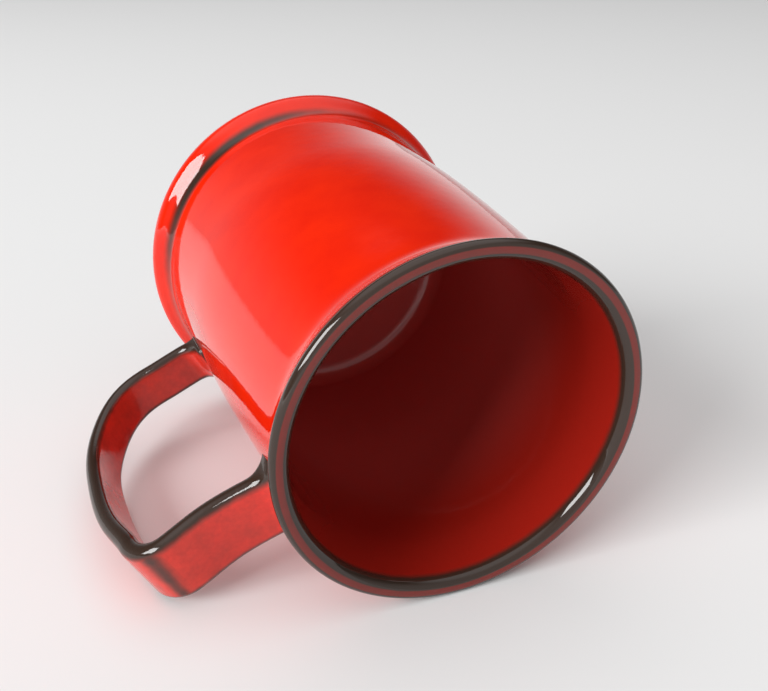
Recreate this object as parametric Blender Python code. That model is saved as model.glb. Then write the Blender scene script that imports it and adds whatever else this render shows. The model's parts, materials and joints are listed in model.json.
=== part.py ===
"""Glazed porcelain mug with a rolled foot, a flared lip and a pulled strap handle, lying on its side.

Each piece is modelled upright about the mug's own axis, with the foot at z = 0 and the handle along +X.
A parent empty then lays the mug down on its lip, its foot roll and the corner of its handle.
"""

from math import acos, atan2, cos, hypot, pi, radians, sin, sqrt

import bmesh
import bpy
from mathutils import Matrix, Vector
from mathutils.geometry import interpolate_bezier

MM = 0.001

# Driving dimensions, in millimetres on the upright mug
HEIGHT = 114.2
LIP_RADIUS = 42.5
LIP_WIDTH = 5.0
LIP_EDGE = 1.5
LIP_ROUND = 2.6
NECK_RADIUS = 39.0
NECK_HEIGHT = 104.5
BELLY_RADIUS = 42.2
BELLY_HEIGHT = 40.0
WALL = 3.9
NECK_WALL = 2.3
FOOT_RADIUS = 47.2
FOOT_ROLL = 4.8
FOOT_ROLL_HEIGHT = 9.4
GROOVE_RADIUS = 41.7
GROOVE_HEIGHT = 14.5
FOOT_RING_OUTER = 43.6
FOOT_RING_INNER = 38.6
FOOT_RECESS = 9.0
FLOOR_HEIGHT = 16.0
FLOOR_FILLET = 7.5

STRAP_WIDE = 17.0
STRAP_NARROW = 12.4
STRAP_THICK = 4.6
STRAP_THIN = 3.9
STRAP_TAPER = (0.28, 0.64)
STRAP_EDGE = 2.5
FILLET_REACH = 6.0
LOOP_FILLET = 8.5
EDGE_FILLET = 1.6
SLIP_THICK = 0.9
GAP = 0.3

LATHE_STEPS = 72
BEZIER_POINTS = 9
JOINT_POINTS = 18
ARC_POINTS = 6

# The strap's middle line as (radius, height) knots: place, direction, curve handles before and after
STRAP_KNOTS = (
    ((35.0, 97.4), (1.0, -0.20), 5.0, 6.0),
    ((54.0, 94.3), (1.0, -0.04), 6.0, 4.5),
    ((66.1, 95.5), (1.0, 0.10), 4.0, 4.2),
    ((73.9, 88.8), (0.22, -1.0), 3.6, 8.0),
    ((79.5, 59.3), (0.04, -1.0), 18.7, 10.1),
    ((75.0, 32.4), (-0.44, -0.90), 10.8, 15.0),
    ((55.5, 22.0), (-1.0, 0.02), 5.0, 6.0),
    ((37.5, 23.0), (-1.0, 0.08), 6.0, 4.0),
)


def clear_scene():
    for thing in list(bpy.data.objects):
        bpy.data.objects.remove(thing, do_unlink=True)


def glaze(name, colour, roughness):
    """A glossy fired glaze: no metal, a hard clear surface."""
    material = bpy.data.materials.new(name)
    material.use_nodes = True
    shader = material.node_tree.nodes["Principled BSDF"]
    shader.inputs["Base Color"].default_value = (*colour, 1.0)
    shader.inputs["Roughness"].default_value = roughness
    shader.inputs["Metallic"].default_value = 0.0
    material.diffuse_color = (*colour, 1.0)
    return material


def add_mesh(name, mesh_data, material, parent):
    """Puts a finished bmesh into the scene as one named, smooth-shaded piece under the parent."""
    mesh = bpy.data.meshes.new(name)
    mesh_data.to_mesh(mesh)
    mesh_data.free()
    mesh.shade_smooth()
    mesh.set_sharp_from_angle(angle=radians(40))
    if material:
        mesh.materials.append(material)
    piece = bpy.data.objects.new(name, mesh)
    bpy.context.scene.collection.objects.link(piece)
    piece.parent = parent
    return piece


def bezier(start, start_handle, end_handle, end, count=BEZIER_POINTS):
    """(radius, height) points along one cubic stretch, its first point left out."""
    flat = [Vector((r, z)) for r, z in (start, start_handle, end_handle, end)]
    return [(p[0], p[1]) for p in interpolate_bezier(*flat, count)[1:]]


def arc(centre, radius, start_deg, end_deg, count=ARC_POINTS):
    """(radius, height) points round a circle, both ends kept."""
    points = []
    for i in range(count + 1):
        angle = radians(start_deg + (end_deg - start_deg) * i / count)
        points.append((centre[0] + radius * cos(angle), centre[1] + radius * sin(angle)))
    return points


def outer_wall(offset=0.0):
    """The outside from the lip's outer edge down to the foot roll's widest ring, moved out by the offset."""
    edge = (LIP_RADIUS + offset, HEIGHT - LIP_EDGE)
    neck = (NECK_RADIUS + offset, NECK_HEIGHT)
    belly = (BELLY_RADIUS + offset, BELLY_HEIGHT)
    groove = (GROOVE_RADIUS + offset, GROOVE_HEIGHT)
    roll_z = FOOT_ROLL_HEIGHT - FOOT_ROLL
    roll_top = (FOOT_RADIUS - FOOT_ROLL + 1.4 + offset, FOOT_ROLL_HEIGHT + offset)
    points = [edge]
    points += bezier(edge, (edge[0] - 0.7, edge[1] - 3.0), (neck[0] + 0.1, neck[1] + 3.6), neck, 6)
    points += bezier(neck, (neck[0] - 0.1, neck[1] - 5.0), (belly[0], belly[1] + 26.0), belly, 8)
    points += bezier(belly, (belly[0], belly[1] - 9.0), (groove[0], groove[1] + 7.0), groove, 4)
    roll_start = (roll_top[0] - 1.6, roll_top[1] + 0.2)
    points += bezier(groove, (groove[0], groove[1] - 3.4), roll_start, roll_top, 6)
    roll_centre = (roll_top[0], roll_z)
    squash = (FOOT_RADIUS + offset - roll_top[0]) / (roll_top[1] - roll_z)
    for r, z in arc(roll_centre, roll_top[1] - roll_z, 90, 0)[1:]:
        points.append((roll_centre[0] + (r - roll_centre[0]) * squash, z))
    return points


def inner_wall():
    """The inside from the centre of its floor up to the lip's inner edge."""
    wall_foot = BELLY_RADIUS - WALL
    fillet_centre = (wall_foot - FLOOR_FILLET, FLOOR_HEIGHT + FLOOR_FILLET)
    belly = (wall_foot, BELLY_HEIGHT)
    neck = (NECK_RADIUS - NECK_WALL, NECK_HEIGHT - 4.0)
    edge = (LIP_RADIUS - LIP_WIDTH, HEIGHT - LIP_ROUND)
    points = [(0.0, FLOOR_HEIGHT), (12.0, FLOOR_HEIGHT), (23.0, FLOOR_HEIGHT)]
    points += arc(fillet_centre, FLOOR_FILLET, -90, 0, 6)
    points += bezier(points[-1], (belly[0], belly[1] - 8.0), (belly[0], belly[1] - 5.0), belly, 3)
    points += bezier(belly, (belly[0], belly[1] + 26.0), (neck[0] - 0.1, neck[1] - 5.0), neck, 7)
    points += bezier(neck, (neck[0] + 0.1, neck[1] + 4.0), (edge[0] - 0.5, edge[1] - 2.6), edge, 5)
    return points


def lip():
    """The rounded top of the wall, from its inner to its outer edge, both ends left out."""
    inner = (LIP_RADIUS - LIP_WIDTH + LIP_ROUND, HEIGHT - LIP_ROUND)
    outer = (LIP_RADIUS - LIP_EDGE, HEIGHT - LIP_EDGE)
    return arc(inner, LIP_ROUND, 180, 90, 4)[1:] + arc(outer, LIP_EDGE, 90, 0, 4)[:-1]


def foot():
    """Under the foot roll: its lower half, the flat ring the mug stands on, and the recess inside it."""
    roll_z = FOOT_ROLL_HEIGHT - FOOT_ROLL
    ring_edge = (FOOT_RING_OUTER, 0.0)
    ring_start = (FOOT_RING_OUTER + 2.0, 0.0)
    points = bezier((FOOT_RADIUS, roll_z), (FOOT_RADIUS, roll_z - 2.6), ring_start, ring_edge, 5)
    points += [(FOOT_RING_INNER, 0.0)]
    points += arc((FOOT_RING_INNER - 1.2, 1.2), 1.2, -60, 0, 2)[1:]
    points += arc((FOOT_RING_INNER - 4.2, FOOT_RECESS - 3.0), 3.0, 0, 90, 4)
    return points + [(14.0, FOOT_RECESS), (0.0, FOOT_RECESS)]


def lathe(name, profile, material, parent):
    """Turns a (radius, height) profile about the mug's axis with a Screw modifier."""
    mesh_data = bmesh.new()
    last = None
    for r, z in profile:
        vert = mesh_data.verts.new((r * MM, 0.0, z * MM))
        if last:
            mesh_data.edges.new((last, vert))
        last = vert
    piece = add_mesh(name, mesh_data, material, parent)
    screw = piece.modifiers.new("turn", "SCREW")
    screw.axis = "Z"
    screw.angle = 2 * pi
    screw.steps = LATHE_STEPS
    screw.render_steps = LATHE_STEPS
    screw.use_merge_vertices = True
    screw.merge_threshold = 0.00002
    screw.use_smooth_shade = True
    return piece


def strap_line():
    """Points along the strap's middle line, from inside the upper wall to inside the lower wall."""
    points = [STRAP_KNOTS[0][0]]
    for (start, leave, _, after), (end, arrive, before, _) in zip(STRAP_KNOTS, STRAP_KNOTS[1:]):
        leave = Vector(leave).normalized() * after
        arrive = Vector(arrive).normalized() * before
        handle_a = (start[0] + leave[0], start[1] + leave[1])
        handle_b = (end[0] - arrive[0], end[1] - arrive[1])
        at_wall = min(start[0], end[0]) < NECK_RADIUS
        points += bezier(start, handle_a, handle_b, end, JOINT_POINTS if at_wall else BEZIER_POINTS)
    return points


def strap_section(wide, thick):
    """A rounded rectangle across the strap: (sideways, outwards) points, corners turned in three steps."""
    edge = min(STRAP_EDGE, 0.49 * thick)
    points = []
    for side, face, start in ((1, 1, 0), (-1, 1, 90), (-1, -1, 180), (1, -1, 270)):
        centre = (side * (wide / 2 - edge), face * (thick / 2 - edge))
        points += arc(centre, edge, start, start + 90, 3)
    return points


def fillet_growth(distance, fillet):
    """How far a face of the strap has spread at this distance from the wall, in a quarter-round fillet."""
    if distance >= FILLET_REACH:
        return 0.0
    fall = 1.0 - max(distance, 0.0) / FILLET_REACH
    return fillet * (1.0 - sqrt(1.0 - 0.96 * fall * fall))


def strap_taper(share):
    """0 on the wide leg under the lip, 1 on the narrow arc: a smooth step between the two along the strap."""
    start, end = STRAP_TAPER
    part = min(max((share - start) / (end - start), 0.0), 1.0)
    return part * part * (3.0 - 2.0 * part)


def strap_rings(spread=0.0):
    """The strap's cross sections as rings: they taper in width, and fillet to the wall inside the loop."""
    line = strap_line()
    lengths = [0.0]
    for (r0, z0), (r1, z1) in zip(line, line[1:]):
        lengths.append(lengths[-1] + hypot(r1 - r0, z1 - z0))
    rings = []
    for i, (r, z) in enumerate(line):
        r0, z0 = line[max(i - 1, 0)]
        r1, z1 = line[min(i + 1, len(line) - 1)]
        along = Vector((r1 - r0, z1 - z0)).normalized()
        outwards = Vector((-along[1], along[0]))
        share = lengths[i] / lengths[-1]
        wall = NECK_RADIUS if share < 0.5 else BELLY_RADIUS
        loop_growth = fillet_growth(r - wall, LOOP_FILLET)
        edge_growth = fillet_growth(r - wall, EDGE_FILLET)
        taper = strap_taper(share)
        wide = STRAP_WIDE + (STRAP_NARROW - STRAP_WIDE) * taper + 2 * edge_growth + 2 * spread
        thick = STRAP_THICK + (STRAP_THIN - STRAP_THICK) * taper + loop_growth + edge_growth + 2 * spread
        middle_shift = (edge_growth - loop_growth) / 2
        ring = []
        for across, out in strap_section(wide, thick):
            place = Vector((r, z)) + outwards * (out + middle_shift)
            ring.append(Vector((place[0], across, place[1])))
        rings.append(ring)
    return rings


def loft(name, rings, material, parent):
    """Skins a row of rings into one closed body."""
    mesh_data = bmesh.new()
    rows = [[mesh_data.verts.new(point * MM) for point in ring] for ring in rings]
    for row, after in zip(rows, rows[1:]):
        for i in range(len(row)):
            j = (i + 1) % len(row)
            mesh_data.faces.new((row[i], row[j], after[j], after[i]))
    mesh_data.faces.new(rows[0])
    mesh_data.faces.new(list(reversed(rows[-1])))
    bmesh.ops.recalc_face_normals(mesh_data, faces=mesh_data.faces)
    return add_mesh(name, mesh_data, material, parent)


def solid_of_wall(offset):
    """A closed lathe profile of everything inside the outer wall moved out by the offset."""
    points = outer_wall(offset)
    return [(0.0, points[0][1])] + points + [(0.0, points[-1][1])]


def helper(piece):
    """Marks a cutter, which isn't a piece of the mug."""
    piece.hide_render = True
    piece.display_type = "WIRE"
    return piece


def cut(piece, cutter, operation):
    boolean = piece.modifiers.new(operation.lower() + "_" + cutter.name, "BOOLEAN")
    boolean.operation = operation
    boolean.object = cutter
    boolean.solver = "EXACT"


def lean_angle():
    """The tilt of the mug's axis when its foot roll and its lip's edge touch the same flat table."""
    foot_tube = FOOT_ROLL_HEIGHT - FOOT_ROLL
    across = (FOOT_RADIUS - foot_tube) - (LIP_RADIUS - LIP_EDGE)
    along = (HEIGHT - LIP_EDGE) - foot_tube
    return acos((LIP_EDGE - foot_tube) / hypot(across, along)) - atan2(along, across)


def lay_down(roll, lean):
    """The turn that takes the upright mug to the table: mouth towards -Y, handle to -X."""
    return Matrix.Rotation(pi / 2 + lean, 3, "X") @ Matrix.Rotation(-pi / 2 - roll, 3, "Z")


def resting_roll(rings, lean):
    """The angle from handle to table at which the handle's corner comes down level with the lip and foot."""
    lip_edge = Vector((LIP_RADIUS, 0.0, HEIGHT - LIP_EDGE))
    points = [point for ring in rings for point in ring if point[0] > FOOT_RADIUS]
    low, high = radians(40), radians(90)
    for _ in range(40):
        roll = (low + high) / 2
        turn = lay_down(roll, lean)
        touching = Matrix.Rotation(roll, 3, "Z") @ lip_edge
        table = (turn @ touching)[2] - LIP_EDGE * (1 - cos(lean))
        if min((turn @ point)[2] for point in points) < table:
            low = roll
        else:
            high = roll
    return high


clear_scene()
red = glaze("red_glaze", (0.62, 0.020, 0.008), 0.08)
handle_red = glaze("handle_glaze", (0.40, 0.022, 0.012), 0.16)
slip_brown = glaze("slip_glaze", (0.055, 0.026, 0.018), 0.12)

rings = strap_rings()
lean = lean_angle()
roll = resting_roll(rings, lean)

rest = bpy.data.objects.new("rest_on_table", None)
bpy.context.scene.collection.objects.link(rest)

# The body: one slip-cast shell of lip, wall, floor and foot, turned so that a vertex row touches the table
body = lathe("mug_body", inner_wall() + lip() + outer_wall() + foot(), red, rest)
body.rotation_euler[2] = roll

# The handle: one pulled strap, trimmed to the wall with room for the slip it is stuck on with
trim = helper(lathe("handle_trim", solid_of_wall(2 * GAP + SLIP_THICK), None, rest))
handle = loft("handle", rings, handle_red, rest)
cut(handle, trim, "DIFFERENCE")

# The slip: a thin pad of clay under each end of the strap, following the wall
slip_inside = helper(lathe("slip_inside", solid_of_wall(GAP), None, rest))
slip_outside = helper(lathe("slip_outside", solid_of_wall(GAP + SLIP_THICK), None, rest))
wide_rings = strap_rings(spread=0.35)
middle = len(wide_rings) // 2
for name, end_rings in (("upper_slip_joint", wide_rings[:middle]), ("lower_slip_joint", wide_rings[middle:])):
    pad = loft(name, end_rings, slip_brown, rest)
    cut(pad, slip_outside, "INTERSECT")
    cut(pad, slip_inside, "DIFFERENCE")

# Lay the mug down, then set it on the table with the middle of its outline at the origin
rest.rotation_mode = "QUATERNION"
rest.rotation_quaternion = lay_down(roll, lean).to_quaternion()
bpy.context.view_layer.update()
graph = bpy.context.evaluated_depsgraph_get()
corners = []
for piece in (body, handle):
    evaluated = piece.evaluated_get(graph)
    shape = evaluated.to_mesh()
    corners += [evaluated.matrix_world @ vert.co for vert in shape.vertices]
    evaluated.to_mesh_clear()
low = Vector([min(corner[axis] for corner in corners) for axis in range(3)])
high = Vector([max(corner[axis] for corner in corners) for axis in range(3)])
rest.location = (-(low[0] + high[0]) / 2, -(low[1] + high[1]) / 2, -low[2])
print(f"rolled {roll * 180 / pi:.2f} degrees, leaning {lean * 180 / pi:.2f} degrees")
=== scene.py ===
import json
from math import cos, hypot, pi, radians, sin, sqrt

import bmesh
import bpy
from mathutils import Matrix, Vector
from mathutils.geometry import interpolate_bezier


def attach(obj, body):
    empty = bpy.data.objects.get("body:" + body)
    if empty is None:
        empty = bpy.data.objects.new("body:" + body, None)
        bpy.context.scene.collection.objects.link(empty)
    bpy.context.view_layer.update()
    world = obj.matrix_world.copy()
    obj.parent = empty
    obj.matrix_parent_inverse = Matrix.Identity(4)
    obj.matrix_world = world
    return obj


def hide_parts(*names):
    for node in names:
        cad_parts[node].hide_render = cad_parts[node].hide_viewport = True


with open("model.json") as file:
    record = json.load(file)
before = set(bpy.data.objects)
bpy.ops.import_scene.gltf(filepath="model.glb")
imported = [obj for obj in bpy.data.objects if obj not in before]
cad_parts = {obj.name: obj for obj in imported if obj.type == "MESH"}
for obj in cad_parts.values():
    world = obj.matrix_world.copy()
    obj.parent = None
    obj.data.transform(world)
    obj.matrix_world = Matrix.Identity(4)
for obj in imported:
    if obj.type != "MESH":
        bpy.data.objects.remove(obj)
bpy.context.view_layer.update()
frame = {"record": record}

# The camera: low in front of the mouth and left of it, looking down into the mug.
# Its place, turn and focal length fit the outlines of the lip, wall, foot and handle.
CAMERA_PLACE = (-0.0628, -0.1980, 0.1364)
CAMERA_TURN = (radians(65.196), radians(-0.574), radians(-21.730))
PHOTO_WIDTH = 768
FOCAL_LENGTH_PIXELS = 894.2
SENSOR_WIDTH = 36.0
NEAREST_SEEN = 0.005

lens = bpy.data.cameras.new("camera")
lens.sensor_width = SENSOR_WIDTH
lens.lens = SENSOR_WIDTH * FOCAL_LENGTH_PIXELS / PHOTO_WIDTH
lens.clip_start = NEAREST_SEEN
camera = bpy.data.objects.new("camera", lens)
camera.location = CAMERA_PLACE
camera.rotation_euler = CAMERA_TURN
bpy.context.scene.collection.objects.link(camera)
bpy.context.scene.camera = camera
bpy.context.scene.view_settings.view_transform = "Standard"

# The table: a plain pale top that runs out of view on every side.
# Its matt paint shows no reflections.
TABLE_REACH = 12.0
TABLE_COLOUR = (0.80, 0.80, 0.80, 1.0)
TABLE_ROUGHNESS = 0.8

table_mesh = bpy.data.meshes.new("table")
table_shape = bmesh.new()
bmesh.ops.create_grid(table_shape, x_segments=1, y_segments=1, size=TABLE_REACH)
table_shape.to_mesh(table_mesh)
table_shape.free()
table = bpy.data.objects.new("table", table_mesh)
bpy.context.scene.collection.objects.link(table)
table_finish = bpy.data.materials.new("table_paint")
table_finish.use_nodes = True
table_shader = table_finish.node_tree.nodes["Principled BSDF"]
table_shader.inputs["Base Color"].default_value = TABLE_COLOUR
table_shader.inputs["Roughness"].default_value = TABLE_ROUGHNESS
table_shader.inputs["Specular IOR Level"].default_value = 0.0
table_mesh.materials.append(table_finish)

# The light: a soft ceiling, a pale wall behind the mug that fades upwards, a dimmer room in front,
# and one large soft window on the left.
# The room's edges, spans and tops are measured on a sphere of radius 1 round the mug.
ROOM_WHITE = (1.0, 1.0, 1.0, 1.0)
ROOM_SHADE = 0.035
BACK_WALL_LIGHT = 0.85
BACK_WALL_TOP = 0.54
BACK_WALL_EDGE = (-0.25, 0.45)
BACK_WALL_SPAN = (-0.5, 0.5)
BACK_WALL_SIDES = (0.38, 1.15)
FRONT_LIGHT = 0.50
FRONT_EDGE = (-0.75, -0.15)
CEILING_LIGHT = 1.04
CEILING_EDGE = (0.60, 0.86)
WINDOW_WAY = Vector((-0.84, -0.28, 0.45))
WINDOW_DISTANCE = 3.6
WINDOW_SIZE = (2.16, 1.5)
WINDOW_POWER = 138.0

room = bpy.data.worlds.new("room")
room.use_nodes = True
room_tree = room.node_tree
room_way = room_tree.nodes.new("ShaderNodeTexCoord")
room_split = room_tree.nodes.new("ShaderNodeSeparateXYZ")
room_tree.links.new(room_way.outputs["Generated"], room_split.inputs["Vector"])


def room_step(axis, start, end, low, high):
    """A smooth step in brightness along one axis of the room."""
    step = room_tree.nodes.new("ShaderNodeMapRange")
    step.interpolation_type = "SMOOTHSTEP"
    room_tree.links.new(room_split.outputs[axis], step.inputs["Value"])
    step.inputs["From Min"].default_value = start
    step.inputs["From Max"].default_value = end
    step.inputs["To Min"].default_value = low
    step.inputs["To Max"].default_value = high
    return step.outputs["Result"]


def room_product(first, second, added=None):
    """One brightness times another, with a third added where there is one."""
    product = room_tree.nodes.new("ShaderNodeMath")
    product.operation = "MULTIPLY_ADD" if added else "MULTIPLY"
    room_tree.links.new(first, product.inputs[0])
    room_tree.links.new(second, product.inputs[1])
    if added:
        room_tree.links.new(added, product.inputs[2])
    return product.outputs[0]


behind = room_step("Y", *BACK_WALL_EDGE, 0.0, 1.0)
wall_height = room_step("Z", 0.0, BACK_WALL_TOP, BACK_WALL_LIGHT, 0.0)
wall_side = room_product(behind, room_step("X", *BACK_WALL_SPAN, *BACK_WALL_SIDES))
ceiling = room_step("Z", *CEILING_EDGE, ROOM_SHADE, CEILING_LIGHT)
in_front = room_step("Y", *FRONT_EDGE, FRONT_LIGHT, 0.0)
below_ceiling = room_step("Z", *CEILING_EDGE, 1.0, 0.0)
room_brightness = room_product(wall_height, wall_side, room_product(in_front, below_ceiling, ceiling))
room_glow = room_tree.nodes["Background"]
room_glow.inputs["Color"].default_value = ROOM_WHITE
room_tree.links.new(room_brightness, room_glow.inputs["Strength"])
bpy.context.scene.world = room
window = bpy.data.lights.new("window", "AREA")
window.shape = "RECTANGLE"
window.size, window.size_y = WINDOW_SIZE
window.energy = WINDOW_POWER
window_lamp = bpy.data.objects.new("window", window)
window_lamp.location = WINDOW_WAY.normalized() * WINDOW_DISTANCE
window_lamp.rotation_euler = (-WINDOW_WAY).to_track_quat("-Z", "Y").to_euler()
bpy.context.scene.collection.objects.link(window_lamp)

# The body: one shell of porcelain, slip-cast in a mould, with a flared lip and a rolled foot.
# Red glaze covers it and breaks to dark brown on the lip's two edges and in the groove over the foot.
# Inside and on top of the lip the red is painted darker as painted shade, and deep down it is painted
# lighter and greyer as painted light and haze. The groove's brown is also painted shade and dark
# reflection, darkest on one side. The flat ring that it stands on is wiped clean of glaze.

# Sizes are in millimetres on the upright mug. A place is (radius, height), and a pull is how far the
# handle of a curve reaches from its place, (outwards, upwards).
HEIGHT = 114.2
LIP_RADIUS = 42.5
LIP_WIDTH = 4.4
LIP_EDGE = 1.5
LIP_ROUND = 2.6
LIP_PULL = (-0.7, -3.0)
NECK_RADIUS = 39.0
NECK_HEIGHT = 102.5
NECK_PULL_UP = (0.1, 5.0)
NECK_PULL_DOWN = (-0.1, -5.0)
BELLY_RADIUS = 42.2
BELLY_HEIGHT = 40.0
BELLY_PULL_UP = (0.0, 26.0)
BELLY_PULL_DOWN = (0.0, -9.0)
GROOVE_RADIUS = 42.9
GROOVE_HEIGHT = 13.5
GROOVE_PULL_UP = (-0.4, 9.0)
GROOVE_PULL_DOWN = (0.1, -3.1)
FOOT_SHOULDER = (45.1, 7.9)
SHOULDER_PULL_UP = (-1.2, 1.0)
SHOULDER_PULL_DOWN = (1.2, -1.0)
FOOT_RADIUS = 47.2
FOOT_WIDEST = 4.6
FOOT_PULL_UP = (0.0, 1.8)
FOOT_PULL_DOWN = (0.0, -2.6)
FOOT_RING_OUTER = 43.6
FOOT_RING_MIDDLE = 41.1
FOOT_RING_INNER = 38.6
FOOT_RING_PULL = (2.0, 0.0)
FOOT_RING_FLAT = 0.01
FOOT_RING_ROUND = 1.2
FOOT_RECESS = 9.0
FOOT_RECESS_INSET = 4.2
FOOT_RECESS_ROUND = 3.0
FOOT_RECESS_RINGS = (24.0, 12.0, 0.0)
WALL = 3.9
FLOOR_HEIGHT = 16.0
FLOOR_FILLET = 5.0
FLOOR_RINGS = range(0, 30, 4)
INNER_FOOT_PULL = (0.0, -8.0)
INNER_BELLY_PULL_DOWN = (0.0, -5.0)
INNER_NECK_RADIUS = 36.7
INNER_NECK_HEIGHT = 100.5
INNER_NECK_PULL_UP = (0.1, 4.0)
INNER_LIP_PULL = (-0.5, -2.6)
TURN_STEPS = 256
NEARLY = 0.1

HANDLE_ROLL = radians(61.69)
MM = 0.001

BODY_RED = (0.76, 0.019, 0.002, 1.0)
BODY_DEEP_RED = (0.68, 0.013, 0.002, 1.0)
# Painted shade: the inside and the top of the lip are painted a darker red than the outside.
INSIDE_PAINTED_SHADE_RED = (0.29, 0.011, 0.006, 1.0)
# Painted light and haze: deep inside, towards the floor, the red is painted lighter and greyer.
DEEP_PAINTED_LIGHT_RED = (0.58, 0.065, 0.055, 1.0)
PAINTED_LIGHT_DEPTHS = (18.0, 62.0)
BROWN = (0.034, 0.020, 0.014, 1.0)
BARE_CLAY = (0.62, 0.55, 0.47, 1.0)
BARE_CLAY_ROUGHNESS = 0.6
LIP_MIDDLE = 40.7
LIP_TOP_BROWN = 0.48
LIP_BROWN_DEPTH = 12.0
LIP_OUTER_BAND = (40.7, 41.8)
LIP_OUTER_FADE = (2.6, 4.0)
LIP_INNER_BAND = (39.4, 40.5)
LIP_INNER_FADE = (0.8, 5.0)
LIP_WALL_MIDDLE = 38.6
# The groove's brown is glaze break mixed with painted shade and dark reflection, painted darkest on one
# side of the mug.
GROOVE_BROWN_PLACE = (43.4, 9.8)
GROOVE_BROWN_REACH = 4.2
GROOVE_BREAK_AND_SHADE = 0.45
GROOVE_SIDE_PAINTED_SHADE = 0.4
GROOVE_SHADED_SIDE = radians(-75.0)
GROOVE_SHADED_SIDE_SPREAD = 1.7
GLAZE_IOR = 1.52
CLOUDS_PER_METRE = 90.0
RAGS_PER_METRE = 260.0
MIDDLE_NOISE = (0.3, 0.7)
MOTTLED_NOISE = (0.4, 0.6)
BROKEN_FROM = (0.18, 0.82)
WIPED_FROM = (0.45, 0.60)
ROUGHNESS_SPREAD = (0.6, 1.4)

foot_ring = frame["record"]["mounts"][0]
foot_middle = Vector(foot_ring["pos_m"]) - Vector((FOOT_RING_MIDDLE * MM, 0.0, 0.0))
mug_up = -Vector(foot_ring["axis"])
table_side = mug_up.cross(Vector((1.0, 0.0, 0.0)))
lying = Matrix((Vector((1.0, 0.0, 0.0)), table_side, mug_up)).transposed()
lying_turn = lying @ Matrix.Rotation(-pi / 2 - HANDLE_ROLL, 3, "Z")
lying_place = Matrix.Translation(foot_middle) @ lying_turn.to_4x4() @ Matrix.Scale(MM, 4)


def lay_down(name, mesh):
    """Adds an upright mesh in millimetres to the scene, laid on its lip, foot roll and handle corner."""
    mesh.transform(lying_place)
    mesh.shade_smooth()
    piece = bpy.data.objects.new(name, mesh)
    bpy.context.scene.collection.objects.link(piece)
    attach(piece, "root")
    return piece


def moved(place, pull):
    """A place moved by a pull."""
    return (place[0] + pull[0], place[1] + pull[1])


def bezier(start, start_handle, end_handle, end, count):
    """Places along one cubic stretch, its first one left out."""
    corners = [Vector(place) for place in (start, start_handle, end_handle, end)]
    return [(place[0], place[1]) for place in interpolate_bezier(*corners, count)[1:]]


def arc(centre, radius, start_deg, end_deg, count):
    """Places round a circle, both ends kept."""
    places = []
    for i in range(count + 1):
        angle = radians(start_deg + (end_deg - start_deg) * i / count)
        places.append((centre[0] + radius * cos(angle), centre[1] + radius * sin(angle)))
    return places


def outer_wall():
    """The outside from the lip's outer edge down to the foot roll's widest ring."""
    edge = (LIP_RADIUS, HEIGHT - LIP_EDGE)
    neck = (NECK_RADIUS, NECK_HEIGHT)
    belly = (BELLY_RADIUS, BELLY_HEIGHT)
    groove = (GROOVE_RADIUS, GROOVE_HEIGHT)
    shoulder = FOOT_SHOULDER
    over_shoulder = moved(shoulder, SHOULDER_PULL_UP)
    under_shoulder = moved(shoulder, SHOULDER_PULL_DOWN)
    widest = (FOOT_RADIUS, FOOT_WIDEST)
    places = [edge]
    places += bezier(edge, moved(edge, LIP_PULL), moved(neck, NECK_PULL_UP), neck, 24)
    places += bezier(neck, moved(neck, NECK_PULL_DOWN), moved(belly, BELLY_PULL_UP), belly, 30)
    places += bezier(belly, moved(belly, BELLY_PULL_DOWN), moved(groove, GROOVE_PULL_UP), groove, 16)
    places += bezier(groove, moved(groove, GROOVE_PULL_DOWN), over_shoulder, shoulder, 18)
    places += bezier(shoulder, under_shoulder, moved(widest, FOOT_PULL_UP), widest, 18)
    return places


def inner_wall():
    """The inside from the centre of its floor up to the lip's inner edge."""
    belly = (BELLY_RADIUS - WALL, BELLY_HEIGHT)
    fillet_centre = (belly[0] - FLOOR_FILLET, FLOOR_HEIGHT + FLOOR_FILLET)
    fillet_end = (belly[0], fillet_centre[1])
    neck = (INNER_NECK_RADIUS, INNER_NECK_HEIGHT)
    edge = (LIP_RADIUS - LIP_WIDTH, HEIGHT - LIP_ROUND)
    places = [(r, FLOOR_HEIGHT) for r in FLOOR_RINGS]
    places += arc(fillet_centre, FLOOR_FILLET, -90, 0, 20)
    foot_pull = moved(belly, INNER_FOOT_PULL)
    places += bezier(fillet_end, foot_pull, moved(belly, INNER_BELLY_PULL_DOWN), belly, 8)
    places += bezier(belly, moved(belly, BELLY_PULL_UP), moved(neck, NECK_PULL_DOWN), neck, 30)
    places += bezier(neck, moved(neck, INNER_NECK_PULL_UP), moved(edge, INNER_LIP_PULL), edge, 20)
    return places


def lip():
    """The rounded top of the wall, from its inner to its outer edge, both ends left out."""
    inner = (LIP_RADIUS - LIP_WIDTH + LIP_ROUND, HEIGHT - LIP_ROUND)
    outer = (LIP_RADIUS - LIP_EDGE, HEIGHT - LIP_EDGE)
    return arc(inner, LIP_ROUND, 180, 90, 16)[1:] + arc(outer, LIP_EDGE, 90, 0, 12)[:-1]


def foot():
    """Under the foot roll: its lower half, the flat ring the mug stands on, and the recess inside it."""
    widest = (FOOT_RADIUS, FOOT_WIDEST)
    ring_edge = (FOOT_RING_OUTER, 0.0)
    ring_corner = (FOOT_RING_INNER - FOOT_RING_ROUND, FOOT_RING_ROUND)
    recess_corner = (FOOT_RING_INNER - FOOT_RECESS_INSET, FOOT_RECESS - FOOT_RECESS_ROUND)
    places = bezier(widest, moved(widest, FOOT_PULL_DOWN), moved(ring_edge, FOOT_RING_PULL), ring_edge, 16)
    places += [(FOOT_RING_MIDDLE, 0.0), (FOOT_RING_INNER, 0.0)]
    places += arc(ring_corner, FOOT_RING_ROUND, -60, 0, 5)[1:]
    places += arc(recess_corner, FOOT_RECESS_ROUND, 0, 90, 10)
    return places + [(r, FOOT_RECESS) for r in FOOT_RECESS_RINGS]


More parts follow.
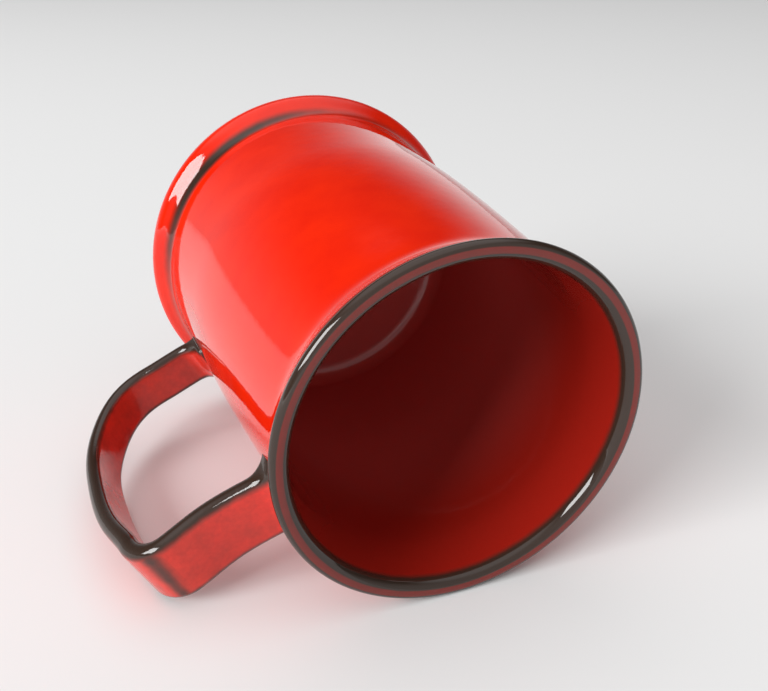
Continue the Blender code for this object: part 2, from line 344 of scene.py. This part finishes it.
def near(r, z, place, reach):
    """1 at the place, falling smoothly to 0 at the reach."""
    share = min(hypot(r - place[0], z - place[1]) / reach, 1.0)
    return 0.5 + 0.5 * cos(pi * share)


def rise(value, start, end):
    """0 up to the start, 1 from the end on, smooth between them."""
    part = min(max((value - start) / (end - start), 0.0), 1.0)
    return part * part * (3.0 - 2.0 * part)


def body_break_and_shade(r, z, angle):
    """How far the glaze has broken to brown on the lip's two edges; in the groove over the foot, glaze
    break mixed with painted shade and dark reflection, darkest on one side.
    """
    depth = HEIGHT - z
    outside = r > LIP_MIDDLE or (depth > LIP_ROUND and r > LIP_WALL_MIDDLE)
    if depth < LIP_BROWN_DEPTH and outside:
        return max(LIP_TOP_BROWN, rise(r, *LIP_OUTER_BAND)) * (1.0 - rise(depth, *LIP_OUTER_FADE))
    if depth < LIP_BROWN_DEPTH:
        return max(LIP_TOP_BROWN, 1.0 - rise(r, *LIP_INNER_BAND)) * (1.0 - rise(depth, *LIP_INNER_FADE))
    # Painted shade and dark reflection in the groove, darkest on one side of the mug, over a little glaze
    # break.
    shaded_side = max(0.0, cos(GROOVE_SHADED_SIDE_SPREAD * (angle - GROOVE_SHADED_SIDE)))
    return (GROOVE_BREAK_AND_SHADE + GROOVE_SIDE_PAINTED_SHADE * shaded_side) * near(r, z, GROOVE_BROWN_PLACE, GROOVE_BROWN_REACH)


def body_inside(r, z, angle):
    """1 on the inside of the wall, on the floor and on top of the lip, 0 outside."""
    within_wall = z > FLOOR_HEIGHT - NEARLY and r < BELLY_RADIUS - WALL + NEARLY
    on_lip = z > HEIGHT - LIP_EDGE and r < LIP_RADIUS - LIP_EDGE / 2
    return 1.0 if within_wall or on_lip else 0.0


def body_painted_light_depth(r, z, angle):
    """How deep in the mug a place is, for its painted light and haze: 0 near the lip, 1 near the floor."""
    return rise(HEIGHT - z, *PAINTED_LIGHT_DEPTHS)


def body_bare(r, z, angle):
    """1 on the flat foot ring, 0 elsewhere."""
    return 1.0 if z < FOOT_RING_FLAT and r > FOOT_RING_INNER - NEARLY else 0.0


def turned(name, profile, marks):
    """A lathe mesh of the profile. Its points keep each mark, a function of radius, height and angle."""
    shape = bmesh.new()
    layers = {mark: shape.verts.layers.float.new(mark) for mark in marks}
    rows = []
    for r, z in profile:
        row = []
        for i in range(TURN_STEPS if r > 0.0 else 1):
            angle = 2 * pi * i / TURN_STEPS
            vert = shape.verts.new((r * cos(angle), r * sin(angle), z))
            for mark, layer in layers.items():
                vert[layer] = marks[mark](r, z, angle if angle < pi else angle - 2 * pi)
            row.append(vert)
        rows.append(row)
    for row, after in zip(rows, rows[1:]):
        for i in range(TURN_STEPS):
            j = (i + 1) % TURN_STEPS
            corners = [row[i % len(row)], row[j % len(row)], after[j % len(after)], after[i % len(after)]]
            shape.faces.new(list(dict.fromkeys(corners)))
    bmesh.ops.recalc_face_normals(shape, faces=shape.faces)
    mesh = bpy.data.meshes.new(name)
    shape.to_mesh(mesh)
    shape.free()
    return mesh


def set_socket(tree, socket, value):
    """Links another node's socket to this one, or sets a plain value on it."""
    if isinstance(value, bpy.types.NodeSocket):
        tree.links.new(value, socket)
    else:
        socket.default_value = value


def noise(tree, place, per_metre, detail):
    """Soft noise over the surface, with so many lumps to a metre."""
    made = tree.nodes.new("ShaderNodeTexNoise")
    tree.links.new(place, made.inputs["Vector"])
    made.inputs["Scale"].default_value = per_metre
    made.inputs["Detail"].default_value = detail
    return made.outputs["Fac"]


def mark(tree, name):
    """A mark that the mesh keeps on its points, 0 on a mesh without it."""
    made = tree.nodes.new("ShaderNodeAttribute")
    made.attribute_name = name
    return made.outputs["Fac"]


def times_plus(tree, value, factor, added):
    """A value times a factor, plus another value."""
    made = tree.nodes.new("ShaderNodeMath")
    made.operation = "MULTIPLY_ADD"
    for socket, part in zip(made.inputs, (value, factor, added)):
        set_socket(tree, socket, part)
    return made.outputs[0]


def stepped(tree, value, start, end, low=0.0, high=1.0, smooth=False):
    """Goes from low at the start to high at the end."""
    made = tree.nodes.new("ShaderNodeMapRange")
    made.interpolation_type = "SMOOTHSTEP" if smooth else "LINEAR"
    ends = {"Value": value, "From Min": start, "From Max": end, "To Min": low, "To Max": high}
    for label, part in ends.items():
        set_socket(tree, made.inputs[label], part)
    return made.outputs["Result"]


def mixed(tree, kind, share, first, second):
    """The first colour or number, turning into the second as the share rises."""
    made = tree.nodes.new("ShaderNodeMix")
    made.data_type = kind
    for label, part in (("Factor", share), ("A", first), ("B", second)):
        socket = next(each for each in made.inputs if each.name == label and each.enabled)
        set_socket(tree, socket, part)
    return next(each for each in made.outputs if each.enabled)


def red_glaze_and_painted_light(name, red, deep_red, roughness, peel_size, peel_depth, ragged, mottled):
    """Glossy red glaze over porcelain: mottled red, brown where the glaze has broken, faint orange peel.

    Where the mesh marks the inside, the red is painted darker as painted shade, and lighter and greyer deep
    down as painted light and haze. The brown mark also carries painted shade in the body's groove.
    """
    finish = bpy.data.materials.new(name)
    finish.use_nodes = True
    tree = finish.node_tree
    shader = tree.nodes["Principled BSDF"]
    place = tree.nodes.new("ShaderNodeTexCoord").outputs["Object"]
    clouds = noise(tree, place, CLOUDS_PER_METRE, detail=3.0)
    peel = noise(tree, place, 1 / peel_size, detail=2.0)
    rags = noise(tree, place, RAGS_PER_METRE, detail=4.0)
    mottle_start = MIDDLE_NOISE[0] + MOTTLED_NOISE[0] * mottled
    mottle_end = MIDDLE_NOISE[1] + MOTTLED_NOISE[1] * mottled
    mottle = stepped(tree, times_plus(tree, peel, mottled, clouds), mottle_start, mottle_end)
    outside_red = mixed(tree, "RGBA", mottle, red, deep_red)
    # Inside, the red is painted darker as painted shade near the lip and lighter and greyer deep down as
    # painted light and haze.
    inside_painted_red = mixed(tree, "RGBA", mark(tree, "painted_deep_light"), INSIDE_PAINTED_SHADE_RED, DEEP_PAINTED_LIGHT_RED)
    whole_red = mixed(tree, "RGBA", mark(tree, "inside"), outside_red, inside_painted_red)
    break_start = BROKEN_FROM[0] + ragged / 2
    break_end = BROKEN_FROM[1] + ragged / 2
    # The brown mark also carries the body's painted shade and dark reflection in the groove.
    ragged_break = times_plus(tree, rags, ragged, mark(tree, "break_and_shade"))
    broken = stepped(tree, ragged_break, break_start, break_end, smooth=True)
    red_and_brown = mixed(tree, "RGBA", broken, whole_red, BROWN)
    wiped = stepped(tree, mark(tree, "bare_clay"), *WIPED_FROM)
    tree.links.new(mixed(tree, "RGBA", wiped, red_and_brown, BARE_CLAY), shader.inputs["Base Color"])
    least, most = (roughness * spread for spread in ROUGHNESS_SPREAD)
    gloss = stepped(tree, peel, *MIDDLE_NOISE, least, most)
    tree.links.new(mixed(tree, "FLOAT", wiped, gloss, BARE_CLAY_ROUGHNESS), shader.inputs["Roughness"])
    bump = tree.nodes.new("ShaderNodeBump")
    bump.inputs["Strength"].default_value = 1.0
    bump.inputs["Distance"].default_value = peel_depth
    tree.links.new(peel, bump.inputs["Height"])
    tree.links.new(bump.outputs["Normal"], shader.inputs["Normal"])
    shader.inputs["IOR"].default_value = GLAZE_IOR
    return finish


body_marks = {
    "break_and_shade": body_break_and_shade,
    "inside": body_inside,
    "painted_deep_light": body_painted_light_depth,
    "bare_clay": body_bare,
}
body_mesh = turned("mug_body", inner_wall() + lip() + outer_wall() + foot(), body_marks)
# The body's material also paints shade inside the mug and in the groove, and light and haze deep inside.
body_glaze = red_glaze_and_painted_light(
    "body_glaze", BODY_RED, BODY_DEEP_RED,
    roughness=0.04, peel_size=0.0030, peel_depth=0.00002, ragged=0.12, mottled=0.0)
body_mesh.materials.append(body_glaze)
body = lay_down("body", body_mesh)
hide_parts("mug_body")

# The handle: one strap of porcelain, pressed in a mould, wide at the lip end and narrow at the foot end.
# It leaves the wall in a quarter-round flare and turns a tight corner for the thumb.
# The same red glaze lies thinner on it, mottled on its faces and brown on its rounded edges.
STRAP_WIDE = 17.0
STRAP_NARROW = 12.4
STRAP_THICK = 4.6
STRAP_THIN = 3.9
STRAP_TAPER = (0.28, 0.64)
STRAP_HALFWAY = 0.5
STRAP_EDGE = 2.5
STRAP_EDGE_SHARE = 0.49
FILLET_REACH = 6.0
FILLET_FULLNESS = 0.96
LOOP_FILLET = 8.5
EDGE_FILLET = 1.6
EDGE_FILLET_LOWER = 0.4
WALL_BITE = 0.8
STRAP_RED = (0.88, 0.040, 0.020, 1.0)
STRAP_DEEP_RED = (0.74, 0.028, 0.015, 1.0)
RIM_BROWN_WIDTH = 3.8
WALL_BROWN_WIDTH = 3.0
STRAP_CORNER = (70.2, 97.8)
CORNER_BROWN = 0.74
CORNER_BROWN_REACH = 5.6
CORNER_BROWN_NARROWING = 3.2
STRAP_STRETCH_POINTS = 28
# Each knot of the strap's middle line: its place, its direction, and how far its handles reach before
# and after it.
STRAP_KNOTS = (
    ((35.0, 97.4), (1.0, -0.20), 5.0, 6.0),
    ((54.0, 94.3), (1.0, -0.04), 6.0, 4.5),
    ((66.1, 95.5), (1.0, 0.10), 4.0, 4.2),
    ((73.9, 88.8), (0.22, -1.0), 3.6, 8.0),
    ((79.5, 59.3), (0.04, -1.0), 18.7, 10.1),
    ((75.0, 32.4), (-0.44, -0.90), 10.8, 15.0),
    ((55.5, 22.0), (-1.0, 0.02), 5.0, 6.0),
    ((37.5, 23.0), (-1.0, 0.08), 6.0, 4.0),
)


def strap_line():
    """Places along the strap's middle line, from inside the upper wall to inside the lower wall."""
    places = [STRAP_KNOTS[0][0]]
    for (start, leave, _, after), (end, arrive, before, _) in zip(STRAP_KNOTS, STRAP_KNOTS[1:]):
        start_handle = moved(start, Vector(leave).normalized() * after)
        end_handle = moved(end, Vector(arrive).normalized() * -before)
        places += bezier(start, start_handle, end_handle, end, STRAP_STRETCH_POINTS)
    return places


def fillet_growth(distance, fillet):
    """How far a face of the strap has spread at this distance from the wall, in a quarter-round fillet."""
    if distance >= FILLET_REACH:
        return 0.0
    fall = 1.0 - max(distance, 0.0) / FILLET_REACH
    return fillet * (1.0 - sqrt(1.0 - FILLET_FULLNESS * fall * fall))


def strap_section(wide, thick):
    """A rounded rectangle across the strap, as (sideways, outwards) points."""
    edge = min(STRAP_EDGE, STRAP_EDGE_SHARE * thick)
    points = []
    for side, face, start in ((1, 1, 0), (-1, 1, 90), (-1, -1, 180), (1, -1, 270)):
        centre = (side * (wide / 2 - edge), face * (thick / 2 - edge))
        points += arc(centre, edge, start, start + 90, 9)
    return points


wall_places = outer_wall()


def wall_radius(height):
    """The outside radius of the body's wall at this height."""
    for (r1, z1), (r0, z0) in zip(wall_places, wall_places[1:]):
        if z0 <= height <= z1:
            return r0 + (r1 - r0) * (height - z0) / (z1 - z0)
    return BELLY_RADIUS


def strap_brown(place, across, out, wide, from_wall):
    """How far the strap's glaze has broken: on its rims, at its corner and where its rims meet the wall."""
    rim = max(0.0, 1.0 - (wide / 2 - abs(across)) / RIM_BROWN_WIDTH)
    corner_reach = CORNER_BROWN_REACH - CORNER_BROWN_NARROWING * across / wide
    corner = CORNER_BROWN * near(place[0], place[1], STRAP_CORNER, corner_reach) if out > 0 else 0.0
    at_wall = max(0.0, 1.0 - max(from_wall, 0.0) / WALL_BROWN_WIDTH) * (2 * across / wide) ** 2
    return max(rim, corner, at_wall)


def strap_rings():
    """The strap's cross sections, each point with how far its glaze has broken to brown."""
    line = strap_line()
    lengths = [0.0]
    for (r0, z0), (r1, z1) in zip(line, line[1:]):
        lengths.append(lengths[-1] + hypot(r1 - r0, z1 - z0))
    rings = []
    for i, (r, z) in enumerate(line):
        r0, z0 = line[max(i - 1, 0)]
        r1, z1 = line[min(i + 1, len(line) - 1)]
        along = Vector((r1 - r0, z1 - z0)).normalized()
        outwards = Vector((-along[1], along[0]))
        share = lengths[i] / lengths[-1]
        upper = share < STRAP_HALFWAY
        from_wall = r - (NECK_RADIUS if upper else BELLY_RADIUS)
        loop_growth = fillet_growth(from_wall, LOOP_FILLET)
        edge_growth = fillet_growth(from_wall, EDGE_FILLET if upper else EDGE_FILLET_LOWER)
        taper = rise(share, *STRAP_TAPER)
        wide = STRAP_WIDE + (STRAP_NARROW - STRAP_WIDE) * taper + 2 * edge_growth
        thick = STRAP_THICK + (STRAP_THIN - STRAP_THICK) * taper + loop_growth + edge_growth
        middle_shift = (edge_growth - loop_growth) / 2
        ring = []
        for across, out in strap_section(wide, thick):
            place = Vector((r, z)) + outwards * (out + middle_shift)
            inside = wall_radius(place[1]) - WALL_BITE
            reach = max(place[0], sqrt(max(inside * inside - across * across, 0.0)))
            brown = strap_brown(place, across, out, wide, from_wall)
            ring.append((Vector((reach, across, place[1])), brown))
        rings.append(ring)
    return rings


def skinned(name, rings, joined):
    """One closed mesh over a row of rings, joined or capped at its ends. It keeps the glaze's break."""
    shape = bmesh.new()
    broken = shape.verts.layers.float.new("break_and_shade")
    rows = []
    for ring in rings:
        row = []
        for place, brown in ring:
            vert = shape.verts.new(place)
            vert[broken] = brown
            row.append(vert)
        rows.append(row)
    following = rows[1:] + rows[:1] if joined else rows[1:]
    for row, after in zip(rows, following):
        for i in range(len(row)):
            j = (i + 1) % len(row)
            shape.faces.new((row[i], row[j], after[j], after[i]))
    if not joined:
        shape.faces.new(rows[0])
        shape.faces.new(list(reversed(rows[-1])))
    bmesh.ops.recalc_face_normals(shape, faces=shape.faces)
    mesh = bpy.data.meshes.new(name)
    shape.to_mesh(mesh)
    shape.free()
    return mesh


handle_rings = strap_rings()
handle_mesh = skinned("handle", handle_rings, joined=False)
handle_glaze = red_glaze_and_painted_light(
    "handle_glaze", STRAP_RED, STRAP_DEEP_RED,
    roughness=0.09, peel_size=0.0011, peel_depth=0.00003, ragged=0.22, mottled=1.2)
handle_mesh.materials.append(handle_glaze)
handle = lay_down("strap_handle", handle_mesh)
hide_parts("handle")

# The slip joints: the bead of wet clay squeezed out round each end of the strap when it is stuck on.
# Glaze pools against the bead and fires dark brown.
BEAD_RADIUS = 0.4
BEAD_SIDES = 12
BEAD_START = 38.6
BEAD_BROWN = 1.0
SLIP_RED = (0.30, 0.016, 0.008, 1.0)
SLIP_DEEP_RED = (0.20, 0.012, 0.008, 1.0)


def bead_rings(end_rings):
    """A bead on the wall round one end of the strap, as rings round its path."""
    wall_ring = next(ring for ring in end_rings if min(place[0] for place, _ in ring) > BEAD_START)
    path = []
    for place, _ in wall_ring:
        radius = wall_radius(place[2])
        path.append(Vector((sqrt(radius * radius - place[1] * place[1]), place[1], place[2])))
    rings = []
    for i, place in enumerate(path):
        along = (path[(i + 1) % len(path)] - path[i - 1]).normalized()
        from_wall = Vector((place[0], place[1], 0.0)).normalized()
        beside = along.cross(from_wall).normalized()
        ring = []
        for k in range(BEAD_SIDES):
            angle = 2 * pi * k / BEAD_SIDES
            ring.append((place + BEAD_RADIUS * (cos(angle) * from_wall + sin(angle) * beside), BEAD_BROWN))
        rings.append(ring)
    return rings


slip_glaze = red_glaze_and_painted_light(
    "slip_glaze", SLIP_RED, SLIP_DEEP_RED,
    roughness=0.08, peel_size=0.0011, peel_depth=0.00003, ragged=0.12, mottled=0.5)
for node, end_rings in (("upper_slip_joint", handle_rings), ("lower_slip_joint", handle_rings[::-1])):
    bead_mesh = skinned(node, bead_rings(end_rings), joined=True)
    bead_mesh.materials.append(slip_glaze)
    slip = lay_down(node.replace("joint", "bead"), bead_mesh)
    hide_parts(node)
